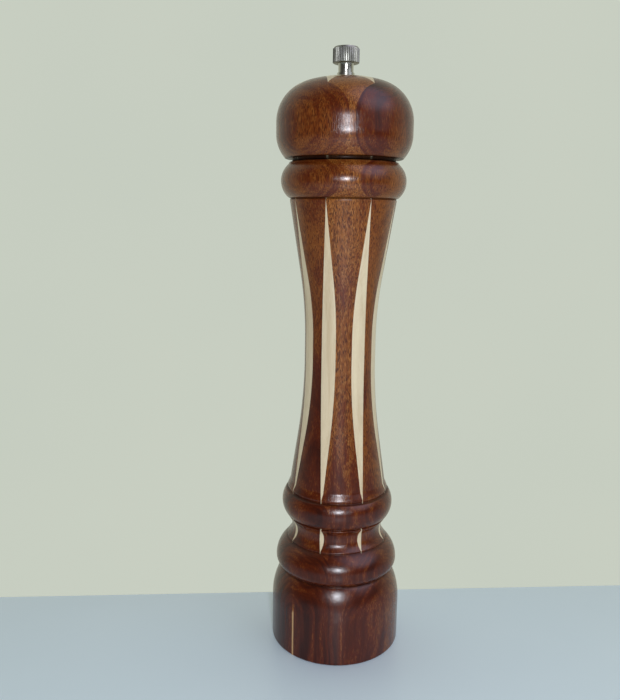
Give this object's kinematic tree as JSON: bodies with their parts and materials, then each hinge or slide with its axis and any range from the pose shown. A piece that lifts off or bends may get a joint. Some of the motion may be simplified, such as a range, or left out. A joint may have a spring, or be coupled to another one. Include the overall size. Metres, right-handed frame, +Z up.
{
  "type": "pepper mill",
  "caption": "Tall turned laminated-wood pepper mill with a bun-shaped turning head, a knurled adjusting knob and a steel grinding set driven by a square shaft.",
  "frame": {"origin": "centre of the ring that the mill stands on, at the table", "axes": "+Z up along the mill's turning axis, -Y towards the middle of panel rod 1"},
  "size_m": [0.0708, 0.0708, 0.3159],
  "materials": {
    "pale_wood": "gloss lacquer",
    "striped_dark_wood": "gloss lacquer",
    "red_dark_wood": "gloss lacquer",
    "nickel_plate": "bright nickel",
    "shaft_aluminium": "drawn bar",
    "zinc_steel": "zinc plated",
    "screw_steel": "bright",
    "spring_steel": "drawn wire",
    "hard_steel": "case hardened"
  },
  "bodies": {
    "body": {"body_light_core": "pale_wood", "body_panel_rod_1": "striped_dark_wood", "body_panel_rod_2": "striped_dark_wood", "body_panel_rod_3": "striped_dark_wood", "body_panel_rod_4": "striped_dark_wood", "body_corner_rod_1": "striped_dark_wood", "body_corner_rod_2": "striped_dark_wood", "body_corner_rod_3": "striped_dark_wood", "body_corner_rod_4": "striped_dark_wood", "body_outer_stave_1": "red_dark_wood", "body_outer_stave_2": "red_dark_wood", "body_outer_stave_3": "red_dark_wood", "body_outer_stave_4": "red_dark_wood", "body_outer_stave_5": "red_dark_wood", "body_outer_stave_6": "red_dark_wood", "body_outer_stave_7": "red_dark_wood", "body_outer_stave_8": "red_dark_wood", "bridge_bar": "zinc_steel", "bridge_screws": "screw_steel", "stator": "hard_steel", "stator_screws": "screw_steel"},
    "turning_washer": {"thrust_washer": "zinc_steel", "spring": "spring_steel"},
    "shaft": {"drive_shaft": "shaft_aluminium", "rotor": "hard_steel", "rotor_clip": "zinc_steel"},
    "head": {"head_light_core": "pale_wood", "head_panel_rod_1": "striped_dark_wood", "head_panel_rod_2": "striped_dark_wood", "head_panel_rod_3": "striped_dark_wood", "head_panel_rod_4": "striped_dark_wood", "head_corner_rod_1": "striped_dark_wood", "head_corner_rod_2": "striped_dark_wood", "head_corner_rod_3": "striped_dark_wood", "head_corner_rod_4": "striped_dark_wood", "head_outer_stave_1": "red_dark_wood", "head_outer_stave_2": "red_dark_wood", "head_outer_stave_3": "red_dark_wood", "head_outer_stave_4": "red_dark_wood", "head_outer_stave_5": "red_dark_wood", "head_outer_stave_6": "red_dark_wood", "head_outer_stave_7": "red_dark_wood", "head_outer_stave_8": "red_dark_wood", "drive_plate": "zinc_steel", "drive_plate_screws": "screw_steel"},
    "knob_seat": {"knob_washer": "nickel_plate"},
    "knob": {"adjusting_knob": "nickel_plate"}
  },
  "joints": [
    {"name": "mill_turn", "type": "hinge", "parent": "body", "child": "turning_washer", "pos_m": [0, 0, 0], "axis": [0, 0, 1], "continuous": true},
    {"name": "grind_slide", "type": "slide", "parent": "turning_washer", "child": "shaft", "axis": [0, 0, -1], "range_m": [0, 0.0012], "deforming": ["spring"]},
    {"name": "head_lift", "type": "slide", "parent": "turning_washer", "child": "head", "axis": [0, 0, 1], "range_m": [0, 0.075]},
    {"name": "knob_turn", "type": "hinge", "parent": "head", "child": "knob_seat", "pos_m": [0, 0, 0], "axis": [0, 0, 1], "range_deg": [0, 540]},
    {"name": "knob_lift", "type": "slide", "parent": "knob_seat", "child": "knob", "axis": [0, 0, 1], "range_m": [0, 0.03]}
  ],
  "couplings": [
    {"joint": "knob_turn", "follows": "grind_slide", "rad_per_m": 7854}
  ]
}
